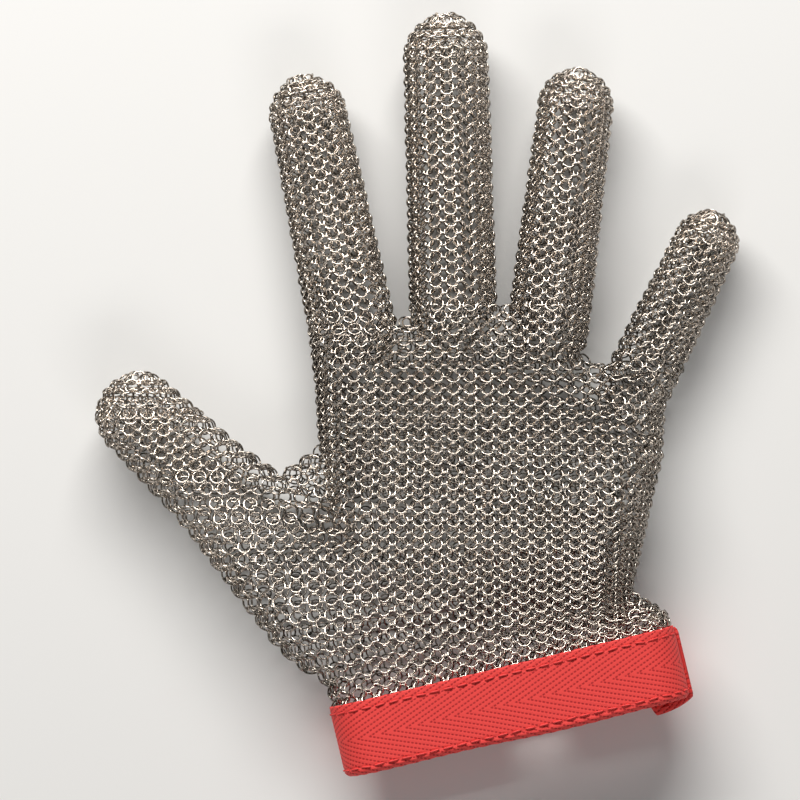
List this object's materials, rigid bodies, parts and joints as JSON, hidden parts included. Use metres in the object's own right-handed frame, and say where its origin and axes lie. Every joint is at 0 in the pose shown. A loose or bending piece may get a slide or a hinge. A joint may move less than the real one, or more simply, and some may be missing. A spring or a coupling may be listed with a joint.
{
  "type": "chain mail glove",
  "caption": "Butcher's chain mail glove of welded steel rings, with a red woven cuff band and a snap strap.",
  "frame": {"origin": "middle of the hand's flat back, on the surface the glove lies on", "axes": "+Z out of the palm, +Y towards the fingertips, -X towards the thumb"},
  "size_m": [0.1929, 0.2292, 0.0268],
  "materials": {
    "mail_rings": "satin",
    "cuff_tape": "matte",
    "thread": "matte",
    "snap_metal": "gloss"
  },
  "bodies": {
    "hand": {"palm_mail": "mail_rings", "back_mail": "mail_rings", "cuff_tape": "cuff_tape", "cuff_upper_seam": "thread", "cuff_lower_seam": "thread", "snap_stud": "snap_metal", "snap_post": "snap_metal"},
    "thumb_base": {"thumb_base_mail": "mail_rings"},
    "thumb_proximal": {"thumb_proximal_mail": "mail_rings"},
    "thumb_distal": {"thumb_distal_mail": "mail_rings"},
    "index_proximal": {"index_proximal_mail": "mail_rings"},
    "index_middle": {"index_middle_mail": "mail_rings"},
    "index_distal": {"index_distal_mail": "mail_rings"},
    "middle_proximal": {"middle_proximal_mail": "mail_rings"},
    "middle_middle": {"middle_middle_mail": "mail_rings"},
    "middle_distal": {"middle_distal_mail": "mail_rings"},
    "ring_proximal": {"ring_proximal_mail": "mail_rings"},
    "ring_middle": {"ring_middle_mail": "mail_rings"},
    "ring_distal": {"ring_distal_mail": "mail_rings"},
    "little_proximal": {"little_proximal_mail": "mail_rings"},
    "little_middle": {"little_middle_mail": "mail_rings"},
    "little_distal": {"little_distal_mail": "mail_rings"},
    "strap": {"strap_tail": "cuff_tape", "strap_seam": "thread", "snap_cap": "snap_metal", "snap_socket": "snap_metal"}
  },
  "joints": [
    {"name": "thumb_base_fold", "type": "hinge", "parent": "hand", "child": "thumb_base", "pos_m": [-0.0502, -0.023, 0.0122], "axis": [0, 1, 0], "range_deg": [0, 32]},
    {"name": "thumb_root_fold", "type": "hinge", "parent": "thumb_base", "child": "thumb_proximal", "pos_m": [-0.069, -0.0063, 0.0122], "axis": [0.6883, 0.7254, 0], "range_deg": [0, 40]},
    {"name": "thumb_tip_fold", "type": "hinge", "parent": "thumb_proximal", "child": "thumb_distal", "pos_m": [-0.09004, 0.01366, 0.0122], "axis": [0.6883, 0.7254, 0], "range_deg": [0, 50]},
    {"name": "index_root_fold", "type": "hinge", "parent": "hand", "child": "index_proximal", "pos_m": [-0.038, 0.05, 0.0103], "axis": [1, 0, 0], "range_deg": [0, 70]},
    {"name": "index_middle_fold", "type": "hinge", "parent": "index_proximal", "child": "index_middle", "pos_m": [-0.04349, 0.07659, 0.0103], "axis": [0.9793, 0.2024, 0], "range_deg": [0, 80]},
    {"name": "index_tip_fold", "type": "hinge", "parent": "index_middle", "child": "index_distal", "pos_m": [-0.04859, 0.10125, 0.0103], "axis": [0.9793, 0.2024, 0], "range_deg": [0, 40]},
    {"name": "middle_root_fold", "type": "hinge", "parent": "hand", "child": "middle_proximal", "pos_m": [-0.008, 0.056, 0.0106], "axis": [1, 0, 0], "range_deg": [0, 70]},
    {"name": "middle_middle_fold", "type": "hinge", "parent": "middle_proximal", "child": "middle_middle", "pos_m": [-0.00888, 0.08698, 0.0106], "axis": [0.9996, 0.0285, 0], "range_deg": [0, 80]},
    {"name": "middle_tip_fold", "type": "hinge", "parent": "middle_middle", "child": "middle_distal", "pos_m": [-0.0097, 0.11571, 0.0106], "axis": [0.9996, 0.0285, 0], "range_deg": [0, 40]},
    {"name": "ring_root_fold", "type": "hinge", "parent": "hand", "child": "ring_proximal", "pos_m": [0.0204, 0.051, 0.0101], "axis": [1, 0, 0], "range_deg": [0, 70]},
    {"name": "ring_middle_fold", "type": "hinge", "parent": "ring_proximal", "child": "ring_middle", "pos_m": [0.02374, 0.07805, 0.0101], "axis": [0.9925, -0.1224, 0], "range_deg": [0, 80]},
    {"name": "ring_tip_fold", "type": "hinge", "parent": "ring_middle", "child": "ring_distal", "pos_m": [0.02683, 0.10315, 0.0101], "axis": [0.9925, -0.1224, 0], "range_deg": [0, 40]},
    {"name": "little_root_fold", "type": "hinge", "parent": "hand", "child": "little_proximal", "pos_m": [0.045, 0.03, 0.0093], "axis": [1, 0, 0], "range_deg": [0, 70]},
    {"name": "little_middle_fold", "type": "hinge", "parent": "little_proximal", "child": "little_middle", "pos_m": [0.05441, 0.04922, 0.0093], "axis": [0.8982, -0.4396, 0], "range_deg": [0, 80]},
    {"name": "little_tip_fold", "type": "hinge", "parent": "little_middle", "child": "little_distal", "pos_m": [0.06313, 0.06705, 0.0093], "axis": [0.8982, -0.4396, 0], "range_deg": [0, 40]},
    {"name": "strap_fold", "type": "hinge", "parent": "hand", "child": "strap", "pos_m": [0.05872, -0.03726, 0.0147], "axis": [0.2317, -0.9728, 0], "range_deg": [0, 161]}
  ]
}
